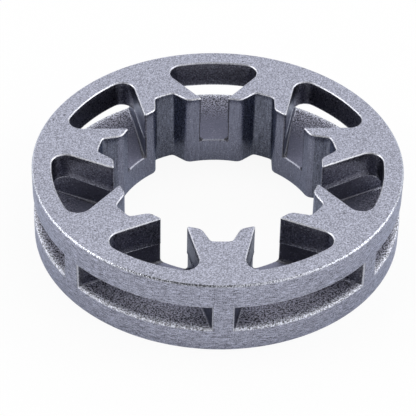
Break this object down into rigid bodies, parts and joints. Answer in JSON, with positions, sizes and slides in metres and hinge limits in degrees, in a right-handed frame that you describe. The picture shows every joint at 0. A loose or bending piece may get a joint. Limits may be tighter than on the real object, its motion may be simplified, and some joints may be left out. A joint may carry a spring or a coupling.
{
  "type": "chainsaw rim sprocket",
  "caption": "Cast steel ring with a splined floating bore, windows in its outer wall that drive a saw chain, and open pockets in one flange that shed sawdust.",
  "frame": {"origin": "centre of the closed lower flange's face, on the bore's axis", "axes": "+Z along the bore's axis, towards the flange with the pockets; -Y along the middle of one tooth"},
  "size_m": [0.034, 0.034, 0.0076],
  "materials": {
    "cast_steel": "blasted cast steel, grey with a fine salt and pepper grain"
  },
  "bodies": {
    "root": {"rim_sprocket": "cast_steel"}
  },
  "joints": []
}
